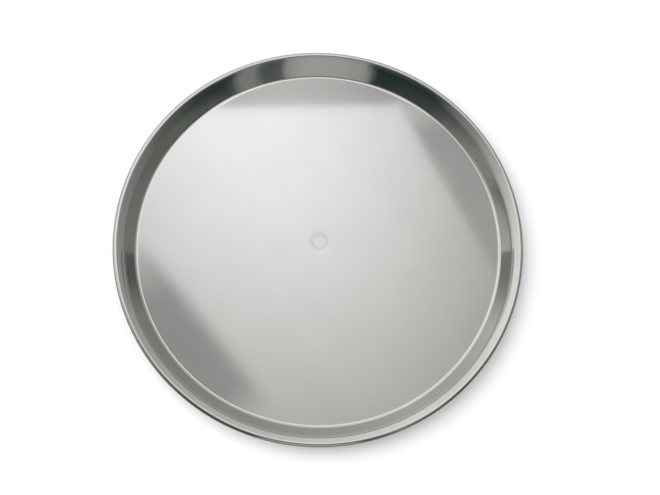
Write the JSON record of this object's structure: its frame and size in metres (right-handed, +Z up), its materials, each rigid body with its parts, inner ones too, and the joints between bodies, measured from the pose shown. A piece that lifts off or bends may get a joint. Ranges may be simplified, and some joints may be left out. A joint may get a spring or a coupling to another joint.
{
  "type": "shallow round steel pan",
  "caption": "Shallow round pan of stainless steel with a flat satin base, a short flared wall and a wired, rolled rim, for baking or serving.",
  "frame": {"origin": "middle of the underside of the flat base, on the surface that the pan stands on", "axes": "+Z up, along the axis that the pan was turned about; the pan is round, so X and Y may point anywhere across it"},
  "size_m": [0.3499, 0.35, 0.0165],
  "materials": {
    "pan_sheet": "circular satin on the base, bright polished wall and rim",
    "rim_wire": "drawn wire"
  },
  "bodies": {
    "root": {"pan_body": "pan_sheet", "rim_wire": "rim_wire"}
  },
  "joints": []
}
